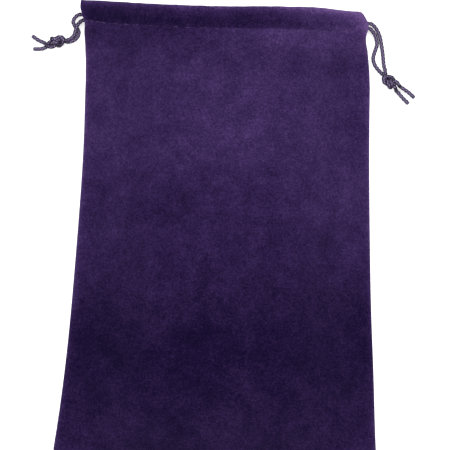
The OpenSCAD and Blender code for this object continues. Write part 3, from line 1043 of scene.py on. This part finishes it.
def far_turn(word, far):
    """The cord's turn at the far corner, from the front hem down into the back hem."""
    lane = FAR_LANES[word]
    points = []
    for x in TURN_X:
        u = far * x / HALF_MOUTH
        points.append([far * x, front_y(u, lane), inner_z(u, lane) - TUNNEL_H / 2])
    for x, z in TURN_XZ:
        points.append([far * x, flat_y(far * x / HALF_MOUTH, lane), z])
    bend = Braid(spline(points, BRAID_STEP))
    whole = bend.part(0, len(bend.line) - 1)
    return braid_piece(f"{word}_cord_far_turn", [whole], f"{word}_cord_loop")


for side, word in SIDE_NAMES.items():
    end_body = f"{word}_end"
    runs, wraps = [], []
    for lane, (neck, strand, tail, tail_word) in zip(LANES[word], end_lines(side, word)):
        inside = np.array([[side * x, Y_MOUTH - lane + side * SKEW * x / HALF_MOUTH, LANE_Z]
                           for x in (EXIT_X - STRAND_IN_HEM, EXIT_X - BEND_IN_HEM)])
        outside = spline(np.vstack([inside[1:], neck, strand[::2], tail]), BRAID_STEP)
        braid = Braid(np.vstack([inside[:1], outside]))
        enter, leave = braid.nearest(strand[0]), braid.nearest(strand[-1])
        runs.append(braid.part(0, enter))
        wraps.append(braid.part(enter, leave))
        node = f"{word}_tail_{tail_word}"
        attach(braid_piece(f"{node}_braid", [braid.part(leave, len(braid.line) - 1)], node), end_body)
        tip_line = braid.line[-TIP_POINTS:] + TIP_OUT * (braid.line[-1] - braid.line[-2])
        tip = make_mesh(f"{word}_tip_{tail_word}", *tube_parts(tip_line, TIP_R, 14, TIP_DOME), TIP)
        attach(stands_for(tip, "cord_tip", f"{word}_tips"), end_body)

    run = braid_piece(f"{word}_cord_and_neck", runs, f"{word}_cord_loop", f"{word}_cord_neck")
    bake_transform(run)
    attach(braid_piece(f"{word}_knot_wraps", wraps, f"{word}_knot"), end_body)
    gather(far_turn(word, -side))

# ---------------------------------------------------------------- floor, light and camera

FLOOR_SIZE, FLOOR_Z, FLOOR_GLOW = 4.0, -0.0002, 0.6      # metres, metres and strength
PAPER, WHITE = (0.95, 0.95, 0.95, 1), (1, 1, 1, 1)
WORLD_LIGHT, WORLD_SEEN = 0.75, 0.25                     # the camera sees a brighter white than the bag

floor_mesh = bpy.data.meshes.new("floor")
s = FLOOR_SIZE / 2
floor_mesh.from_pydata([(-s, -s, 0), (s, -s, 0), (s, s, 0), (-s, s, 0)], [], [(0, 1, 2, 3)])
floor = bpy.data.objects.new("floor", floor_mesh)
bpy.context.scene.collection.objects.link(floor)
floor.location.z = FLOOR_Z
floor_material, tree, shader = node_material("floor_paper")
shader.inputs["Base Color"].default_value = PAPER
shader.inputs["Roughness"].default_value = 0.9
shader.inputs["Specular IOR Level"].default_value = 0.1
shader.inputs["Emission Color"].default_value = WHITE
shader.inputs["Emission Strength"].default_value = FLOOR_GLOW
floor_mesh.materials.append(floor_material)

world = bpy.data.worlds.new("studio")
bpy.context.scene.world = world
world.use_nodes = True
background = world.node_tree.nodes["Background"]
background.inputs["Color"].default_value = WHITE
seen = world.node_tree.nodes.new("ShaderNodeLightPath").outputs["Is Camera Ray"]
strength = math_node(world.node_tree, "MULTIPLY_ADD", seen, WORLD_SEEN, WORLD_LIGHT)
world.node_tree.links.new(strength, background.inputs["Strength"])


def softbox(name, location, size, power):
    """A round lamp that looks at the middle of the bag."""
    data = bpy.data.lights.new(name, "AREA")
    data.shape = "DISK"
    data.size = size
    data.energy = power
    lamp = bpy.data.objects.new(name, data)
    bpy.context.scene.collection.objects.link(lamp)
    lamp.location = location
    lamp.rotation_mode = "QUATERNION"
    lamp.rotation_quaternion = (-Vector(location)).to_track_quat("-Z", "Y")


softbox("key", (0.25, 0.75, 1.3), 1.0, 14)
softbox("fill", (-0.9, -0.3, 1.2), 1.0, 4)

CAMERA_DISTANCE = 0.80          # metres
CAMERA_TILT = 7.41              # degrees off straight above
CAMERA_YAW = -0.46
CAMERA_ROLL = 1.6
FIELD = 0.2265                  # metres seen across, at the aim
SENSOR = 36
AIM = Vector((0.0030, 0.0014, 0.010))

camera_data = bpy.data.cameras.new("camera")
camera_data.sensor_width = SENSOR
camera_data.lens = SENSOR * CAMERA_DISTANCE / FIELD
camera_data.clip_start, camera_data.clip_end = 0.01, 20
camera = bpy.data.objects.new("camera", camera_data)
bpy.context.scene.collection.objects.link(camera)
camera_turn = (Matrix.Rotation(math.radians(CAMERA_YAW), 4, "Y")
               @ Matrix.Rotation(math.radians(CAMERA_TILT), 4, "X")
               @ Matrix.Rotation(math.radians(CAMERA_ROLL), 4, "Z"))
camera.matrix_world = Matrix.Translation(AIM) @ camera_turn @ Matrix.Translation((0, 0, CAMERA_DISTANCE))
bpy.context.scene.camera = camera
bpy.context.scene.view_settings.view_transform = "Standard"
